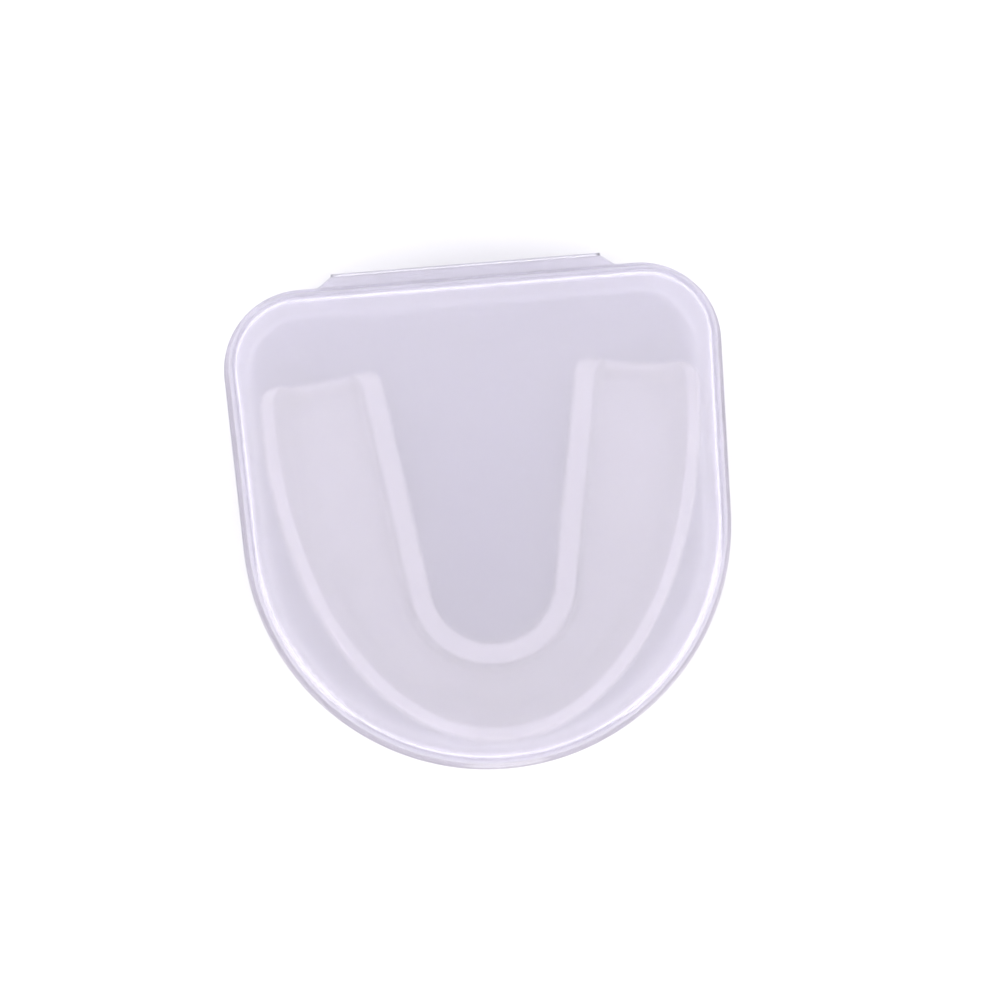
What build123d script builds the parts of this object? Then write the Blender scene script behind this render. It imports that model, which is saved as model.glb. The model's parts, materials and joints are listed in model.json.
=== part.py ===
"""Hinged mouthguard case with the mouthguard inside.

The case is one polypropylene moulding: a D-shaped tray and a matching lid, joined along the flat rear
edge by a living hinge. A thermoplastic mouthguard lies in it with its tooth channel upwards.
+Z is up, -Y is the round front, +Y the hinge side. The origin is under the middle of the case, on the
surface that it stands on. Millimetres and degrees.
"""

from build123d import *
from math import cos, radians, sin, tan
import os

# Case: outline seen from above, measured on the outside of the rim
FRONT_RADIUS = 38.7  # the round front
CORNER_RADIUS = 12.7  # the two rear corners
SIDE_SPLAY = 1.75  # each side runs outwards by this angle towards the rear
BODY_REACH = 39.5  # from the front arc's centre to the flat rear edge
LEAF_REACH = 1.75  # from the rear edge to the hinge axis

# Case: walls, seen from the side
HALF_HEIGHT = 12.5  # each half, from the parting plane to its flat face
WALL = 1.2
DRAFT = 2.5
EDGE_FILLET = 1.8  # outside, round the flat faces
INNER_FILLET = 0.8
RIM_WIDTH = 1.0  # how far the rim stands out of the wall
RIM_HEIGHT = 2.3
RIM_FILLET = 0.45
PARTING_GAP = 0.1  # from each rim to the parting plane

# Lap joint: the tray's lip stands inside the lid's rim
LIP_THICKNESS = 0.9
LIP_HEIGHT = 1.3
LAP_CLEARANCE = 0.25
LAP_HEADROOM = 0.2
BEAD_PROUD = 0.14  # closing bead on the lip, round the front
BEAD_HEIGHT = 0.5
BEAD_CHAMFER = 0.08
BEAD_RISE = 0.65  # the bead's middle, above the parting plane
BEAD_END_Y = 6.0

# Thumb notch in the tray's rim, at the front
NOTCH_WIDTH = 15.0
NOTCH_DEPTH = 1.0
NOTCH_FILLET = 0.9

# Living hinge
LEAF_THICKNESS = 1.0
LEAF_GAP = 0.15  # from each leaf to the parting plane
LEAF_ROOT_WIDTH = 47.6
LEAF_EDGE_WIDTH = 43.0
LEAF_END_GAP = 0.05  # from each leaf's outer end to the hinge axis
FILM_THICKNESS = 0.35

# Round ejector marks on the inside of both flat walls: three large ones and a small pair
EJECTOR_RADIUS = 4.0
EJECTOR_REAR = (28.7, 21.7)  # the rear pair is at plus and minus this X
EJECTOR_FRONT_Y = -27.0
SMALL_EJECTOR_RADIUS = 1.3
SMALL_EJECTOR = (21.7, -7.1)  # at plus and minus this X
EJECTOR_DEPTH = 0.2
EJECTOR_RING = 0.3
LID_RING_HEIGHT = 0.3
TRAY_RING_HEIGHT = 0.1

# Mouthguard: outline seen from above
ARCH_HALF_WIDTH = 35.9
ARCH_LENGTH = 56.3  # from the arch's widest line to its front
ARCH_WIDEST_Y = 19.5
ARM_END_Y = 23.2  # where the middle of each arm's end lies
ARM_END_ANGLE = 7.0
TONGUE_RADIUS = 10.0  # inside of the U, round the front
TONGUE_CENTRE_Y = -10.5
TONGUE_SPLAY = 9.3  # each inner wall runs outwards by this angle towards the rear

# Mouthguard: heights and walls
GUARD_HEIGHT = 17.6  # at the front lip
ARM_HEIGHT = 14.4  # at the ends of the arms
TONGUE_WALL_HEIGHT = 11.6
BITE_THICKNESS = 2.6
CHEEK_LEAN = 1.4  # the outer wall's outside leans in by this over its height
CHEEK_RIM = 1.8
CHEEK_BASE = 5.6  # where the outer wall meets the channel's floor, in from its outside
TONGUE_RIM = 3.0
TONGUE_BASE = 4.0
END_LIP_HEIGHT = 1.2
END_LIP = 1.6
FRENUM_WIDTH = 12.0
FRENUM_DEPTH = 1.6
GUARD_FILLET = 1.4  # round the underside
PAST = 4.0  # how far the channel's cutters run past the mouthguard
TAPER_IN = 0.4  # the arms' ends lean in by this towards the bite plate
GUARD_CLEARANCE = 0.15  # from the mouthguard to the floor of the tray, past its ejector marks

# How the mouthguard lies in the tray
GUARD_SHIFT_X = 0.3
GUARD_TURN = -1.0

# Placed so that a block's middle is over the origin and its top is on the XY plane
HANGING = (Align.CENTER, Align.CENTER, Align.MAX)

# A block larger than the whole case, to cut away everything on one side of a plane
PLENTY = (200, 200, 40)
PAST_RIM = 1.0  # how far the rebate's and the gap's cutters run past the rim

# Places that follow from the driving dimensions
case_length = FRONT_RADIUS + BODY_REACH + LEAF_REACH + LEAF_GAP + FILM_THICKNESS
front_centre_y = FRONT_RADIUS - case_length / 2
rear_y = front_centre_y + BODY_REACH
hinge_y = rear_y + LEAF_REACH
parting_z = HALF_HEIGHT
guard_z = WALL + GUARD_CLEARANCE


def case_outline(inset):
    """The case's outline, moved inwards by inset, as a face in the XY plane."""
    splay = radians(SIDE_SPLAY)
    out_x, out_y = cos(splay), -sin(splay)
    front = FRONT_RADIUS - inset
    corner = CORNER_RADIUS - inset
    corner_y = rear_y - CORNER_RADIUS
    corner_x = (FRONT_RADIUS - CORNER_RADIUS - (corner_y - front_centre_y) * out_y) / out_x
    side_low = (front * out_x, front_centre_y + front * out_y)
    side_high = (corner_x + corner * out_x, corner_y + corner * out_y)
    turn = radians(45 - SIDE_SPLAY / 2)
    corner_mid = (corner_x + corner * cos(turn), corner_y + corner * sin(turn))
    rear = (corner_x, rear_y - inset)
    right = Line(side_low, side_high) + ThreePointArc(side_high, corner_mid, rear)
    left = mirror(right, Plane.YZ)
    back = Line(rear, (-rear[0], rear[1]))
    nose = ThreePointArc(side_low, (0, front_centre_y - front), (-side_low[0], side_low[1]))
    return make_face(Curve() + [right, left, back, nose])


def tapered(inset, height, fillet_radius):
    """A block on the XY plane whose sides lean in by the draft, with its top edge rounded."""
    block = extrude(case_outline(inset), height, taper=DRAFT)
    return fillet(block.faces().sort_by(Axis.Z)[-1].edges(), fillet_radius)


def ejector_marks():
    """Each mark's X, Y and radius."""
    marks = [(0, EJECTOR_FRONT_Y, EJECTOR_RADIUS)]
    for side in (1, -1):
        marks.append((side * EJECTOR_REAR[0], EJECTOR_REAR[1], EJECTOR_RADIUS))
        marks.append((side * SMALL_EJECTOR[0], SMALL_EJECTOR[1], SMALL_EJECTOR_RADIUS))
    return marks


def half_shell(ring_height):
    """One half of the case, open side down on the parting plane, without its hinge leaf or lap joint."""
    rim = extrude(case_outline(0), RIM_HEIGHT)
    rim = fillet(rim.faces().sort_by(Axis.Z)[-1].edges(), RIM_FILLET)
    shell = rim + tapered(RIM_WIDTH, HALF_HEIGHT, EDGE_FILLET)
    shell -= tapered(RIM_WIDTH + WALL, HALF_HEIGHT - WALL, INNER_FILLET)
    for x, y, radius in ejector_marks():
        mark = Pos(x, y, HALF_HEIGHT - WALL)
        shell += mark * Cylinder(radius + EJECTOR_RING, 2 * ring_height)
        shell -= mark * Pos(0, 0, EJECTOR_DEPTH) * Cylinder(radius, WALL, align=HANGING)
    return shell - extrude(case_outline(-PAST_RIM), PARTING_GAP)


def hinge_leaf():
    """The upper leaf of the living hinge, above the parting plane, reaching into the rim."""
    root_y = rear_y - RIM_WIDTH / 2
    outer_y = hinge_y - LEAF_END_GAP
    corners = [
        (-LEAF_ROOT_WIDTH / 2, root_y),
        (LEAF_ROOT_WIDTH / 2, root_y),
        (LEAF_ROOT_WIDTH / 2, rear_y),
        (LEAF_EDGE_WIDTH / 2, outer_y),
        (-LEAF_EDGE_WIDTH / 2, outer_y),
        (-LEAF_ROOT_WIDTH / 2, rear_y),
    ]
    return Pos(0, 0, LEAF_GAP) * extrude(make_face(Polyline(*corners, close=True)), LEAF_THICKNESS)


def ring_band(outer_inset, inner_inset, height):
    """A band between two insets of the case's outline, standing on the XY plane."""
    return extrude(case_outline(outer_inset) - case_outline(inner_inset), height)


def lid():
    shell = half_shell(LID_RING_HEIGHT) + hinge_leaf()
    lip_inset = RIM_WIDTH + WALL - LIP_THICKNESS
    rebate = ring_band(lip_inset - LAP_CLEARANCE, RIM_WIDTH + WALL + PAST_RIM, LIP_HEIGHT + LAP_HEADROOM)
    return Pos(0, 0, parting_z) * (shell - rebate)


def closing_bead():
    """The bead on the outside of the lip, round the front only."""
    lip_inset = RIM_WIDTH + WALL - LIP_THICKNESS
    band = ring_band(lip_inset - BEAD_PROUD, lip_inset + LIP_THICKNESS / 2, BEAD_HEIGHT)
    band = chamfer(band.faces().sort_by(Axis.Y)[0].edges().filter_by(Plane.XY), BEAD_CHAMFER)
    front_half = Pos(0, BEAD_END_Y, 0) * Box(*PLENTY, align=(Align.CENTER, Align.MAX, Align.CENTER))
    return Pos(0, 0, BEAD_RISE - BEAD_HEIGHT / 2) * (band & front_half)


def tray():
    shell = mirror(half_shell(TRAY_RING_HEIGHT) + hinge_leaf(), Plane.XY)
    lip_inset = RIM_WIDTH + WALL - LIP_THICKNESS
    overlap = RIM_HEIGHT
    lip = Pos(0, 0, -overlap) * ring_band(lip_inset, RIM_WIDTH + WALL, LIP_HEIGHT + overlap)
    notch = Box(NOTCH_WIDTH, 2 * NOTCH_DEPTH, 3 * RIM_HEIGHT)
    notch = fillet(notch.edges().filter_by(Axis.Z), NOTCH_FILLET)
    shell -= Pos(0, front_centre_y - FRONT_RADIUS, 0) * notch
    return Pos(0, 0, parting_z) * (shell + lip + closing_bead())


def hinge_film():
    """The thin web that joins the leaves, folded round the hinge axis as it is when the case is shut."""
    inner = LEAF_GAP
    outer = LEAF_GAP + FILM_THICKNESS
    bend = Circle(outer) - Circle(inner)
    bend = bend & Pos(outer, 0) * Rectangle(2 * outer, 3 * outer)
    for side in (1, -1):
        tab_y = side * (inner + FILM_THICKNESS / 2)
        bend += Pos(-LEAF_END_GAP / 2, tab_y) * Rectangle(LEAF_END_GAP, FILM_THICKNESS)
    left_end = Plane(origin=(-LEAF_EDGE_WIDTH / 2, hinge_y, parting_z), x_dir=(0, 1, 0), z_dir=(1, 0, 0))
    return extrude(left_end * bend, LEAF_EDGE_WIDTH)


def guard_outline(outer_inset, tongue_inset, end_inset):
    """The mouthguard's outline from above, with its outside, its tongue side and its ends moved inwards."""
    half_width = ARCH_HALF_WIDTH - outer_inset
    length = ARCH_LENGTH - outer_inset
    tongue = TONGUE_RADIUS + tongue_inset
    splay = radians(TONGUE_SPLAY)
    tongue_low = (tongue * cos(splay), TONGUE_CENTRE_Y - tongue * sin(splay))
    tongue_top_x = tongue / cos(splay) + (ARM_END_Y - TONGUE_CENTRE_Y) * tan(splay)
    arm_middle_x = (tongue_top_x + half_width) / 2
    lean = tan(radians(ARM_END_ANGLE))
    end_y = ARM_END_Y - end_inset
    outer_end = (half_width, end_y - (half_width - arm_middle_x) * lean)
    inner_end_x = (tongue + (end_y + arm_middle_x * lean - TONGUE_CENTRE_Y) * sin(splay)) / (
        cos(splay) + lean * sin(splay)
    )
    inner_end = (inner_end_x, end_y + (arm_middle_x - inner_end_x) * lean)
    arch = EllipticalCenterArc((0, ARCH_WIDEST_Y), half_width, length, 180, arc_size=180)
    right = Polyline((half_width, ARCH_WIDEST_Y), outer_end, inner_end, tongue_low)
    left = mirror(right, Plane.YZ)
    tongue_arc = ThreePointArc(tongue_low, (0, TONGUE_CENTRE_Y - tongue), (-tongue_low[0], tongue_low[1]))
    return make_face(Curve() + [arch, right, left, tongue_arc])


def guard_block(low, high, bottom_z, top_z):
    """A solid between two outlines, each given as its three insets."""
    faces = [Pos(0, 0, bottom_z) * guard_outline(*low), Pos(0, 0, top_z) * guard_outline(*high)]
    return loft(faces, ruled=True)


def mouthguard():
    body = guard_block((0, 0, TAPER_IN), (CHEEK_LEAN, 0, 0), 0, GUARD_HEIGHT)
    body = fillet(body.faces().sort_by(Axis.Z)[0].edges(), GUARD_FILLET)
    lip_top = BITE_THICKNESS + END_LIP_HEIGHT
    between_lips = (CHEEK_BASE, TONGUE_BASE, END_LIP)
    body -= guard_block(between_lips, between_lips, BITE_THICKNESS, lip_top)
    channel_low = (CHEEK_BASE, TONGUE_BASE, -PAST)
    channel_high = (CHEEK_LEAN + CHEEK_RIM, TONGUE_RIM, -PAST)
    body -= guard_block(channel_low, channel_high, lip_top, GUARD_HEIGHT)
    above_tongue_wall = (CHEEK_BASE, -PAST, -PAST)
    body -= guard_block(above_tongue_wall, above_tongue_wall, TONGUE_WALL_HEIGHT, GUARD_HEIGHT)
    slope = (GUARD_HEIGHT - ARM_HEIGHT) / (ARCH_LENGTH - ARCH_WIDEST_Y + ARM_END_Y)
    front_top = Plane((0, ARCH_WIDEST_Y - ARCH_LENGTH, GUARD_HEIGHT), x_dir=(1, 0, 0), z_dir=(0, slope, 1))
    body -= front_top * Box(*PLENTY, align=(Align.CENTER, Align.CENTER, Align.MIN))
    frenum = Plane.XZ * Pos(0, GUARD_HEIGHT) * Ellipse(FRENUM_WIDTH / 2, FRENUM_DEPTH)
    body -= extrude(frenum, ARCH_LENGTH)
    turned = Rot(0, 0, GUARD_TURN) * body
    return Pos(GUARD_SHIFT_X, 0, guard_z) * turned


def main():
    os.makedirs("parts", exist_ok=True)
    nodes = {"case_tray": tray(), "case_lid": lid(), "hinge_film": hinge_film(), "mouthguard": mouthguard()}
    for name, shape in nodes.items():
        export_step(shape, f"parts/{name}.step")


main()
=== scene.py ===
"""Looks for the hinged mouthguard case: frosted polypropylene, and the soft mouthguard inside it.

Everything is in metres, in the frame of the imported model: +Z up, -Y the round front, +Y the hinge.
"""
import json
import math
import bpy
import numpy as np
from mathutils import Matrix, Vector


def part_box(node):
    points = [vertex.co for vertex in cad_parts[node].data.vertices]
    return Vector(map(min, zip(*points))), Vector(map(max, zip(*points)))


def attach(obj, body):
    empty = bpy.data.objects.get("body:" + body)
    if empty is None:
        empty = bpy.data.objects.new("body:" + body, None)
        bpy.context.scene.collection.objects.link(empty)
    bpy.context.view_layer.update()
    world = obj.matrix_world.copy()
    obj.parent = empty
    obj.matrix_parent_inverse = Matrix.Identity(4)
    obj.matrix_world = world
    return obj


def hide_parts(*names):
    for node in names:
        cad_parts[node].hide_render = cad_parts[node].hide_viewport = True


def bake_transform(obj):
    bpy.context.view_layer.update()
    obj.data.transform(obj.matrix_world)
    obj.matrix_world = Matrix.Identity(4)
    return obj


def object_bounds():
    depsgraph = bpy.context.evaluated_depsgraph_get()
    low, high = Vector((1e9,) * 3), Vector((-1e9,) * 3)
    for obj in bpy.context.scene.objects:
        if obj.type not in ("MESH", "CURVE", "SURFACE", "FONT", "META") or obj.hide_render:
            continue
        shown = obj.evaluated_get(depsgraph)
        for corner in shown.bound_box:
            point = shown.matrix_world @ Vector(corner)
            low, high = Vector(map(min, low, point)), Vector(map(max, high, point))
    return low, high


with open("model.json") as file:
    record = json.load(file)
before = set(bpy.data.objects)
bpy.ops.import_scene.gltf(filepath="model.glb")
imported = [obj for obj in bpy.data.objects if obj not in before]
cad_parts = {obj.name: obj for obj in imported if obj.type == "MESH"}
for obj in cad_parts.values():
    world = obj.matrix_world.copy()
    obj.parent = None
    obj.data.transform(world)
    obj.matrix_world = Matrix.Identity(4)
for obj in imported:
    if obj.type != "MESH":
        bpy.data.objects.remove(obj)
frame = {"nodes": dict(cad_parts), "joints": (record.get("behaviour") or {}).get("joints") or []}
cad_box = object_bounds()

MM = 0.001

# How the mouthguard lies in the tray
GUARD_TURN = math.radians(-1.0)
GUARD_SHIFT_X = 0.3
GUARD_RISE = 1.35  # its underside, above the table

# The mouthguard's outline from above, in millimetres, before it is turned
ARCH_HALF_WIDTH = 35.8
ARCH_LENGTH = 56.2
ARCH_WIDEST_Y = 19.5
ARM_END_Y = 23.2
ARM_END_LEAN = math.tan(math.radians(7.0))
TONGUE_RADIUS = 10.0
TONGUE_CENTRE_Y = -10.5
TONGUE_SPLAY = math.radians(9.3)

# The mouthguard's section, in millimetres
FRONT_HEIGHT = 17.6
ARM_HEIGHT = 14.4
TONGUE_WALL_HEIGHT = 11.6
TONGUE_WALL_END_HEIGHT = 9.6
FLOOR = 2.6
CHEEK_LEAN = 1.4
CHEEK_RIM = 1.8
CHEEK_BASE = 5.6
CHEEK_BULGE = 0.35
TONGUE_RIM = 3.2
TONGUE_BASE = 4.0
END_LIP = 1.5
END_LIP_LENGTH = 2.2
END_ROUND = 2.4
END_EDGE = 0.9
FRENUM_WIDTH = 4.5
FRENUM_DEPTH = 1.4
OUTSIDE_ROUNDS = (0.6, 1.5, 2.6, 0.9)  # the corners' radii, from the inner wall's rim to the outer's
CHANNEL_ROUNDS = (0.6, 1.4, 5.0, 0.9)
BULGE_REACH = (8, 5)  # it starts this far inside the outer wall, and grows over this width
END_NARROWING = 0.8  # how far the walls draw in for each millimetre that the arm's end rounds down
END_SHRINK = 0.9

# How finely the mouthguard is divided
CORNER_STEPS = 6
STRAIGHT_STEPS = 8
OUTLINE_STEPS = 200
OUTLINE_END_STEPS = 40
FRONT_SECTIONS = 50
ARM_SECTIONS = 60


def smooth(x):
    x = np.clip(x, 0, 1)
    return x * x * (3 - 2 * x)


def tongue_edge(u):
    """Inner outline: u from -1 at the front's middle to 0 where the arm starts, to 1 at its end."""
    if u <= 0:
        angle = -math.pi / 2 + (1 + u) * (math.pi / 2 - TONGUE_SPLAY)
        return np.array((TONGUE_RADIUS * math.cos(angle), TONGUE_CENTRE_Y + TONGUE_RADIUS * math.sin(angle)))
    start = tongue_edge(0)
    run = (ARM_END_Y - start[1]) / math.cos(TONGUE_SPLAY)
    middle_x = (ARCH_HALF_WIDTH + start[0] + run * math.sin(TONGUE_SPLAY)) / 2
    way = np.array((math.sin(TONGUE_SPLAY), math.cos(TONGUE_SPLAY)))
    reach = (ARM_END_Y + (middle_x - start[0]) * ARM_END_LEAN - start[1]) / (way[1] + way[0] * ARM_END_LEAN)
    return start + way * reach * u


def cheek_line():
    """Outer outline of the right half as closely spaced points, from the front's middle to the arm's end."""
    angles = np.linspace(-math.pi / 2, 0, OUTLINE_STEPS)
    arc = np.stack((ARCH_HALF_WIDTH * np.cos(angles), ARCH_WIDEST_Y + ARCH_LENGTH * np.sin(angles)), 1)
    inner_end = tongue_edge(1)
    end_y = inner_end[1] - (ARCH_HALF_WIDTH - inner_end[0]) * ARM_END_LEAN
    straight_y = np.linspace(ARCH_WIDEST_Y, end_y, OUTLINE_END_STEPS)
    straight = np.stack((np.full(OUTLINE_END_STEPS, ARCH_HALF_WIDTH), straight_y), 1)
    return np.concatenate((arc, straight[1:]))


CHEEK_LINE = cheek_line()


def cheek_edge(u):
    """Outer outline, in step with tongue_edge: along rays round the front, then by length along the arm."""
    centre = np.array((0, TONGUE_CENTRE_Y))
    bearing = np.arctan2(CHEEK_LINE[:, 1] - centre[1], CHEEK_LINE[:, 0] - centre[0])
    if u <= 0:
        angle = -math.pi / 2 + (1 + u) * (math.pi / 2 - TONGUE_SPLAY)
        return np.array([np.interp(angle, bearing, CHEEK_LINE[:, i]) for i in (0, 1)])
    steps = np.linalg.norm(np.diff(CHEEK_LINE, axis=0), axis=1)
    along = np.concatenate(((0,), np.cumsum(steps)))
    first = np.interp(-TONGUE_SPLAY, bearing, along)
    return np.array([np.interp(first + u * (along[-1] - first), along, CHEEK_LINE[:, i]) for i in (0, 1)])


def rounded(corners, radii):
    """A path through the corners with each inner corner rounded, as the same number of points each time."""
    path = [corners[0]]
    for before, corner, after, radius in zip(corners, corners[1:], corners[2:], radii):
        to_before, to_after = before - corner, after - corner
        room = 0.49 * min(np.linalg.norm(to_before), np.linalg.norm(to_after))
        to_before = to_before / np.linalg.norm(to_before)
        to_after = to_after / np.linalg.norm(to_after)
        half = math.acos(np.clip(to_before @ to_after, -1, 1)) / 2
        cut = min(radius / math.tan(half), room)
        start, end = corner + to_before * cut, corner + to_after * cut
        for step in range(CORNER_STEPS + 1):
            t = step / CORNER_STEPS
            path.append((1 - t) ** 2 * start + 2 * t * (1 - t) * corner + t * t * end)
    path.append(corners[-1])
    return path


def subdivided(path, pieces):
    """More points along the long straight stretches between rounded corners."""
    fine = []
    for i, (a, b) in enumerate(zip(path, path[1:])):
        count = pieces if i % (CORNER_STEPS + 1) == 0 else 1
        fine += [a + (b - a) * step / count for step in range(count)]
    return fine + [path[-1]]


def section(width, cheek_height, tongue_height, floor, shrink):
    """The mouthguard's section: x from the tongue side, y up. The outside first, then the channel."""
    s = shrink
    cheek_top = width - CHEEK_LEAN
    outside = [
        (TONGUE_RIM / 2, tongue_height - s),
        (s, tongue_height - s),
        (s, s),
        (width - s, s),
        (cheek_top - s, cheek_height - s),
        (cheek_top - CHEEK_RIM / 2, cheek_height - s),
    ]
    channel = [
        (TONGUE_RIM / 2, tongue_height - s),
        (TONGUE_RIM - s, tongue_height - s),
        (TONGUE_BASE - s, floor - s),
        (width - CHEEK_BASE + s, floor - s),
        (cheek_top - CHEEK_RIM + s, cheek_height - s),
        (cheek_top - CHEEK_RIM / 2, cheek_height - s),
    ]
    chains = []
    bulge_start, bulge_width = BULGE_REACH
    for corners, radii in ((outside, OUTSIDE_ROUNDS), (channel, CHANNEL_ROUNDS)):
        path = rounded([np.array(c, float) for c in corners], radii)
        path = np.array(subdivided(path, STRAIGHT_STEPS))
        near_cheek = smooth((path[:, 0] - width + bulge_start) / bulge_width)
        path[:, 0] += CHEEK_BULGE * near_cheek * np.sin(math.pi * np.clip(path[:, 1] / cheek_height, 0, 1))
        chains.append(path)
    return chains


def stations():
    """u for each section of the right half, closer together where the arm's end rounds off."""
    front = list(np.linspace(-1, 0, FRONT_SECTIONS)[:-1])
    arm = list(np.sin(np.linspace(0, math.pi / 2, ARM_SECTIONS)))
    return front + arm


def half_sections():
    """All sections from the front's middle to the end of the right arm, as points in plan and height."""
    length = np.linalg.norm(tongue_edge(1) - tongue_edge(0))
    fall = (FRONT_HEIGHT - ARM_HEIGHT) / (ARCH_LENGTH - ARCH_WIDEST_Y + ARM_END_Y)
    rows = []
    for u in stations():
        inner, outer = tongue_edge(u), cheek_edge(u)
        from_end = (1 - u) * length if u > 0 else length
        left = max(END_ROUND - from_end, 0)
        rounding = END_ROUND - math.sqrt(max(END_ROUND ** 2 - left ** 2, 0))
        edge = max(END_EDGE - from_end, 0)
        shrink = END_EDGE - math.sqrt(max(END_EDGE ** 2 - edge ** 2, 0))
        cheek = FRONT_HEIGHT - fall * (outer[1] - ARCH_WIDEST_Y + ARCH_LENGTH)
        cheek -= FRENUM_DEPTH * math.exp(-(outer[0] / FRENUM_WIDTH) ** 2) + rounding
        tongue = TONGUE_WALL_HEIGHT + (TONGUE_WALL_END_HEIGHT - TONGUE_WALL_HEIGHT) * smooth(u) - rounding
        floor = FLOOR + END_LIP * smooth(1 - (from_end - END_EDGE) / END_LIP_LENGTH)
        across = (outer - inner) / np.linalg.norm(outer - inner)
        inner = inner + across * rounding * END_NARROWING
        outer = outer - across * rounding * END_NARROWING
        width = np.linalg.norm(outer - inner)
        row = []
        for chain in section(width, cheek, tongue, floor, shrink * END_SHRINK):
            points = [np.array((*(inner + across * a), z)) for a, z in chain]
            row.append(np.array(points))
        rows.append(row)
    return rows


def make_object(name, vertices, faces):
    """A smooth-shaded mesh object, in metres."""
    mesh = bpy.data.meshes.new(name)
    mesh.from_pydata([tuple(v) for v in vertices], [], faces)
    mesh.validate()
    obj = bpy.data.objects.new(name, mesh)
    bpy.context.scene.collection.objects.link(obj)
    for polygon in mesh.polygons:
        polygon.use_smooth = True
    return obj


def make_guard():
    """The mouthguard: closed loops strung along the U, mirrored at the front and capped at both ends."""
    right = half_sections()
    flip = np.array((-1, 1, 1))
    left = [[chain * flip for chain in row] for row in reversed(right[1:])]
    rows = left + right
    loops = [np.concatenate((outside, channel[-2:0:-1])) for outside, channel in rows]
    count = len(loops[0])
    half = len(rows[0][0])
    vertices = np.concatenate(loops)
    faces = []
    for i in range(len(loops) - 1):
        for j in range(count):
            k = (j + 1) % count
            faces.append((i * count + j, (i + 1) * count + j, (i + 1) * count + k, i * count + k))
    for base, order in ((0, -1), ((len(loops) - 1) * count, 1)):
        for j in range(half - 1):
            back, ahead = (count - j) % count, count - j - 1
            quad = [base + j, base + back, base + ahead, base + j + 1]
            quad = list(dict.fromkeys(quad))
            if len(quad) > 2:
                faces.append(tuple(quad[::order]))
    guard = make_object("mouthguard_soft", vertices * MM, faces)
    guard.data.transform(
        Matrix.Translation((GUARD_SHIFT_X * MM, 0, GUARD_RISE * MM)) @ Matrix.Rotation(GUARD_TURN, 4, "Z")
    )
    return guard


guard = make_guard()
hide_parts("mouthguard")
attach(guard, "mouthguard")


# The living hinge's film, folded round the hinge axis
hinge = next(j for j in frame["joints"] if j["name"] == "lid_hinge")
hinge_at = Vector(hinge["pos_m"])
FILM_INNER = 0.15  # radii of the fold, in millimetres
FILM_OUTER = 0.5
FILM_TAB = 0.05  # how far each edge runs on towards its leaf
FILM_ARC_STEPS = 24
FILM_LENGTH_STEPS = 40


def make_film():
    """The film: a thin half-round fold, drawn out along the hinge and capped at both ends."""
    film_low, film_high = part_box("hinge_film")
    arc = np.linspace(-math.pi / 2, math.pi / 2, FILM_ARC_STEPS + 1)
    outer = [(-FILM_TAB, -FILM_OUTER)] + [(FILM_OUTER * math.cos(a), FILM_OUTER * math.sin(a)) for a in arc]
    outer += [(-FILM_TAB, FILM_OUTER), (-FILM_TAB, FILM_INNER)]
    inner = [(FILM_INNER * math.cos(a), FILM_INNER * math.sin(a)) for a in reversed(arc)]
    loop = outer + inner + [(-FILM_TAB, -FILM_INNER)]
    vertices, faces = [], []
    for x in np.linspace(film_low.x, film_high.x, FILM_LENGTH_STEPS + 1):
        vertices += [(x, hinge_at.y + y * MM, hinge_at.z + z * MM) for y, z in loop]
    count = len(loop)
    for i in range(FILM_LENGTH_STEPS):
        for j in range(count):
            k = (j + 1) % count
            faces.append((i * count + j, i * count + k, (i + 1) * count + k, (i + 1) * count + j))
    last = FILM_LENGTH_STEPS * count
    for j in range(count // 2 - 1):
        a, b, c, d = j, j + 1, count - 2 - j, count - 1 - j
        faces.append((d, c, b, a))
        faces.append((last + a, last + b, last + c, last + d))
    return make_object("hinge_film_web", vertices, faces)


film = make_film()
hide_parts("hinge_film")
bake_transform(film)


# Materials
CASE_COLOURS = (0.965, 0.95, 1.0), (0.97, 0.955, 1.0)
CASE_HAZE = (0.81, 0.79, 0.89)
CASE_HAZE_DENSITY = 280
CASE_CLARITY = 0.86
GUARD_COLOURS = (1.0, 0.965, 0.955), (1.0, 0.975, 0.965)
GUARD_HAZE = (1.0, 0.985, 0.975)
GUARD_HAZE_DENSITY = 2500
GUARD_CLARITY = 0.5

# Painted shade: the rim is painted darker than the walls, to hold back the bright line of light along its
# edge
RIM_PAINTED_SHADE = (0.86, 0.84, 0.88)
RIM_MIDDLE = (cad_box[0].z + cad_box[1].z) / 2
RIM_SHADE_FADE = (0.0022, 0.0030)  # above and below the middle, the painted shade is full up to here and gone from here
HINGE_SHADE_FADE = (0.024, 0.034)  # along Y, the painted shade fades out towards the hinge


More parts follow.
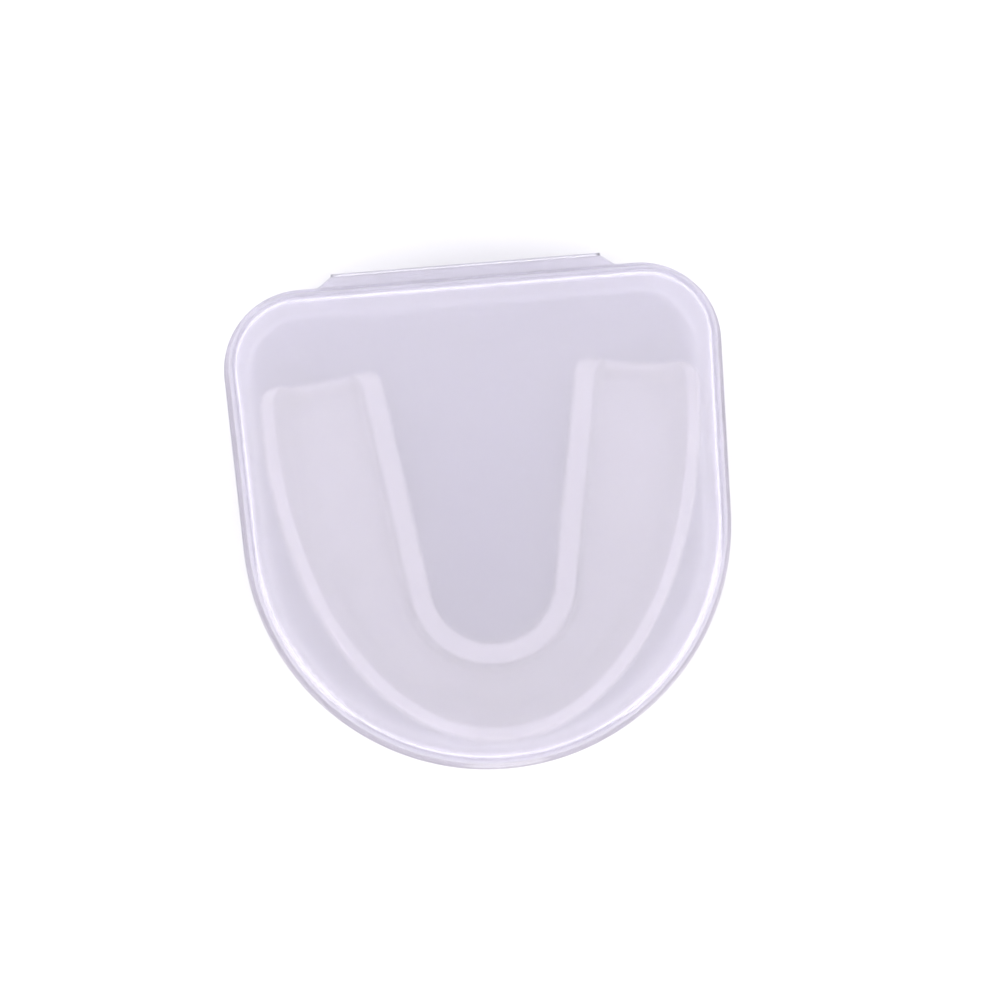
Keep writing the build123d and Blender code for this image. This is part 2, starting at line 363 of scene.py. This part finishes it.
class Nodes:
    """A material's node tree, with short calls for adding and joining nodes."""

    def __init__(self, name):
        self.material = bpy.data.materials.new(name)
        self.material.use_nodes = True
        self.tree = self.material.node_tree
        self.shader = self.tree.nodes["Principled BSDF"]
        self.place = self.add("ShaderNodeTexCoord").outputs["Object"]

    def add(self, kind, inputs=None, **settings):
        node = self.tree.nodes.new(kind)
        for key, value in settings.items():
            setattr(node, key, value)
        for key, value in (inputs or {}).items():
            if isinstance(value, bpy.types.NodeSocket):
                self.tree.links.new(value, node.inputs[key])
            else:
                node.inputs[key].default_value = value
        return node

    def noise(self, scale, detail=3.0, stretch=(1, 1, 1), turn=(0, 0, 0)):
        place = self.add("ShaderNodeMapping", {"Vector": self.place, "Scale": stretch, "Rotation": turn})
        return self.add(
            "ShaderNodeTexNoise", {"Vector": place.outputs[0], "Scale": scale, "Detail": detail}
        ).outputs["Fac"]

    def spread(self, value, low, high, start=0.3, end=0.7):
        """From low to high, while the value goes from start to end."""
        return self.add(
            "ShaderNodeMapRange",
            {"Value": value, "From Min": start, "From Max": end, "To Min": low, "To Max": high},
        ).outputs[0]

    def mixed(self, factor, first, second):
        """A blend of two colours, each given as a value or as another node's socket."""
        node = self.add("ShaderNodeMix", data_type="RGBA")
        for socket, value in ((node.inputs[6], first), (node.inputs[7], second)):
            if isinstance(value, bpy.types.NodeSocket):
                self.tree.links.new(value, socket)
            else:
                socket.default_value = (*value, 1)
        self.tree.links.new(factor, node.inputs[0])
        return node.outputs[2]

    def painted_rim_shade(self):
        """Where the rim's painted shade goes: 1 on the rim at the parting plane, 0 elsewhere and at the
        hinge.
        """
        place = self.add("ShaderNodeSeparateXYZ", {0: self.place}).outputs
        above = self.add("ShaderNodeMath", {0: place["Z"], 1: RIM_MIDDLE}, operation="SUBTRACT").outputs[0]
        away = self.add("ShaderNodeMath", {0: above}, operation="ABSOLUTE").outputs[0]
        rim = self.spread(away, 1, 0, *RIM_SHADE_FADE)
        ahead = self.spread(place["Y"], 1, 0, *HINGE_SHADE_FADE)
        return self.add("ShaderNodeMath", {0: rim, 1: ahead}, operation="MULTIPLY").outputs[0]

    def bump(self, height, strength, distance, onto=None):
        inputs = {"Height": height, "Strength": strength, "Distance": distance}
        if onto is not None:
            inputs["Normal"] = onto
        return self.add("ShaderNodeBump", inputs).outputs[0]

    def cloud(self, colour, density):
        """Fills the piece with a scattering haze."""
        inside = self.add("ShaderNodeVolumePrincipled", {"Color": (*colour, 1), "Density": density})
        output = next(n for n in self.tree.nodes if n.type == "OUTPUT_MATERIAL")
        self.tree.links.new(inside.outputs[0], output.inputs["Volume"])

    def shade(self, **values):
        for key, value in values.items():
            socket = self.shader.inputs[key.replace("_", " ")]
            if isinstance(value, bpy.types.NodeSocket):
                self.tree.links.new(value, socket)
            else:
                socket.default_value = value
        return self.material


def frosted_plastic():
    n = Nodes("frosted_polypropylene")
    cloud = n.noise(55, 2)
    grain = n.noise(2600, 2)
    peel = n.noise(420, 2)
    scratch = n.noise(160, 5, stretch=(1, 26, 1), turn=(0, 0, 0.5))
    scratches = n.spread(scratch, 0, 1, 0.66, 0.74)
    base_roughness = n.spread(cloud, 0.12, 0.16)
    worn = n.spread(scratch, 0, 0.08, 0.64, 0.74)
    roughness = n.add("ShaderNodeMath", {0: base_roughness, 1: worn}, operation="ADD")
    normal = n.bump(peel, 0.06, 0.0002)
    normal = n.bump(grain, 0.05, 0.00004, normal)
    normal = n.bump(scratches, 0.08, 0.00003, normal)
    wall_colour = n.mixed(n.spread(cloud, 0, 1), *CASE_COLOURS)
    # painted shade: the rim is painted darker, to hold back the bright line of light along the edge
    colour = n.mixed(n.painted_rim_shade(), wall_colour, RIM_PAINTED_SHADE)
    n.cloud(CASE_HAZE, CASE_HAZE_DENSITY)
    return n.shade(
        Base_Color=colour,
        Roughness=roughness.outputs[0],
        Normal=normal,
        IOR=1.49,
        Transmission_Weight=CASE_CLARITY,
    )


def soft_plastic():
    n = Nodes("soft_ethylene_vinyl")
    cloud = n.noise(90, 3)
    grain = n.noise(1800, 2)
    peel = n.noise(300, 2)
    roughness = n.spread(cloud, 0.28, 0.36)
    normal = n.bump(peel, 0.12, 0.0003)
    normal = n.bump(grain, 0.10, 0.00005, normal)
    colour = n.mixed(n.spread(cloud, 0, 1), *GUARD_COLOURS)
    n.cloud(GUARD_HAZE, GUARD_HAZE_DENSITY)
    return n.shade(
        Base_Color=colour, Roughness=roughness, Normal=normal, IOR=1.48, Transmission_Weight=GUARD_CLARITY
    )


def dress(obj, material):
    obj.data.materials.clear()
    obj.data.materials.append(material)


case_material = frosted_plastic()
guard_material = soft_plastic()
for name in ("case_tray", "case_lid"):
    for slot in frame["nodes"][name].material_slots:
        slot.material = case_material
dress(film, case_material)
dress(guard, guard_material)


# Floor: a hair below the case, because faces that coincide with it darken the inside of the case
FLOOR_HALF_SIZE = 3
FLOOR_Z = -0.0002
FLOOR_TONES = (0.66, 0.66, 0.662), (0.67, 0.67, 0.672)


def make_floor():
    corners = ((-1, -1), (1, -1), (1, 1), (-1, 1))
    vertices = [(x * FLOOR_HALF_SIZE, y * FLOOR_HALF_SIZE, FLOOR_Z) for x, y in corners]
    floor = make_object("floor", vertices, [(0, 1, 2, 3)])
    n = Nodes("pale_floor")
    tone = n.mixed(n.spread(n.noise(6, 2), 0, 1), *FLOOR_TONES)
    dress(floor, n.shade(Base_Color=tone, Roughness=0.7))


make_floor()


# The sky: bright overhead and dim at the sides, with a soft dark spot where a lens looks down
SKY_COLOUR = (0.95, 0.94, 1.0)
SIDE_SKY = 0.25
CEILING_SKY = 1.84
LENS_SKY = 0.0
LENS_WAY = (0.015, 0.005, 1.0)
SKY_STOPS = (  # how far a direction is from the lens's, and the sky's level there
    (0.02, LENS_SKY),
    (0.055, CEILING_SKY),
    (0.85, CEILING_SKY),
    (1.3, SIDE_SKY),
)


def make_world():
    world = bpy.data.worlds.new("studio")
    bpy.context.scene.world = world
    world.use_nodes = True
    nodes, links = world.node_tree.nodes, world.node_tree.links
    way = nodes.new("ShaderNodeTexCoord").outputs["Generated"]
    off = nodes.new("ShaderNodeVectorMath")
    off.operation = "DISTANCE"
    links.new(way, off.inputs[0])
    off.inputs[1].default_value = LENS_WAY
    ramp = nodes.new("ShaderNodeValToRGB")
    links.new(off.outputs["Value"], ramp.inputs[0])
    stops = ramp.color_ramp.elements
    stops[0].position, stops[1].position = [place for place, _ in SKY_STOPS[:2]]
    for place, _ in SKY_STOPS[2:]:
        stops.new(place)
    for stop, (_, level) in zip(stops, SKY_STOPS):
        stop.color = (*[level * c for c in SKY_COLOUR], 1)
    background = nodes["Background"]
    links.new(ramp.outputs[0], background.inputs[0])
    background.inputs[1].default_value = 1.0


make_world()


# Softboxes: two low at the front corners, and a larger one behind the hinge
WARM = (1.0, 0.985, 0.94)
WHITE = (1.0, 1.0, 1.0)
LIGHTS_AIM = Vector((0, 0, 0.01))


def softbox(name, azimuth, elevation, distance, size, power, colour):
    """A lamp at a direction in degrees, from +X round to +Y and up, that faces the case."""
    light = bpy.data.lights.new(name, "AREA")
    light.shape = "RECTANGLE"
    light.size, light.size_y = size
    light.energy = power
    light.color = colour
    obj = bpy.data.objects.new(name, light)
    bpy.context.scene.collection.objects.link(obj)
    a, e = math.radians(azimuth), math.radians(elevation)
    obj.location = (
        distance * math.cos(e) * math.cos(a),
        distance * math.cos(e) * math.sin(a),
        distance * math.sin(e),
    )
    obj.rotation_euler = (LIGHTS_AIM - obj.location).to_track_quat("-Z", "Y").to_euler()


softbox("left_softbox", azimuth=208, elevation=24, distance=0.9, size=(0.66, 0.5), power=7.0, colour=WARM)
softbox("right_softbox", azimuth=326, elevation=24, distance=0.9, size=(0.74, 0.5), power=8.2, colour=WARM)
softbox("rear_softbox", azimuth=95, elevation=30, distance=1.3, size=(1.8, 1.0), power=15.0, colour=WHITE)


# Camera
CAMERA_ROLL = math.radians(4.75)  # the case lies turned by this in the picture
LEAN_FRONT = math.radians(1.4)
LEAN_LEFT = math.radians(1.2)
CAMERA_DISTANCE = 0.43
SENSOR_WIDTH = 36  # millimetres
FRAME_WIDTH = 0.159  # what the picture spans at the height of the rim
OFFSET = (2.2 * MM, 2.4 * MM)  # the picture's middle, right of and above the case's


def make_camera():
    camera = bpy.data.objects.new("camera", bpy.data.cameras.new("camera"))
    bpy.context.scene.collection.objects.link(camera)
    right = Vector((math.cos(CAMERA_ROLL), -math.sin(CAMERA_ROLL), 0))
    up = Vector((math.sin(CAMERA_ROLL), math.cos(CAMERA_ROLL), 0))
    target = right * OFFSET[0] + up * OFFSET[1] + Vector((0, 0, RIM_MIDDLE))
    back = Vector((-math.tan(LEAN_LEFT), -math.tan(LEAN_FRONT), 1)).normalized()
    right = (right - back * right.dot(back)).normalized()
    up = back.cross(right)
    turn = Matrix((right, up, back)).transposed().to_4x4()
    camera.matrix_world = Matrix.Translation(target + back * CAMERA_DISTANCE) @ turn
    camera.data.sensor_width = SENSOR_WIDTH
    camera.data.lens = SENSOR_WIDTH * CAMERA_DISTANCE / FRAME_WIDTH
    camera.data.clip_start = 0.01
    bpy.context.scene.camera = camera


make_camera()


# Colour and light paths
scene = bpy.context.scene
scene.view_settings.view_transform = "Standard"
scene.cycles.max_bounces = 32
scene.cycles.transmission_bounces = 32
scene.cycles.glossy_bounces = 8
scene.cycles.diffuse_bounces = 6
scene.cycles.volume_bounces = 10
scene.cycles.sample_clamp_indirect = 6
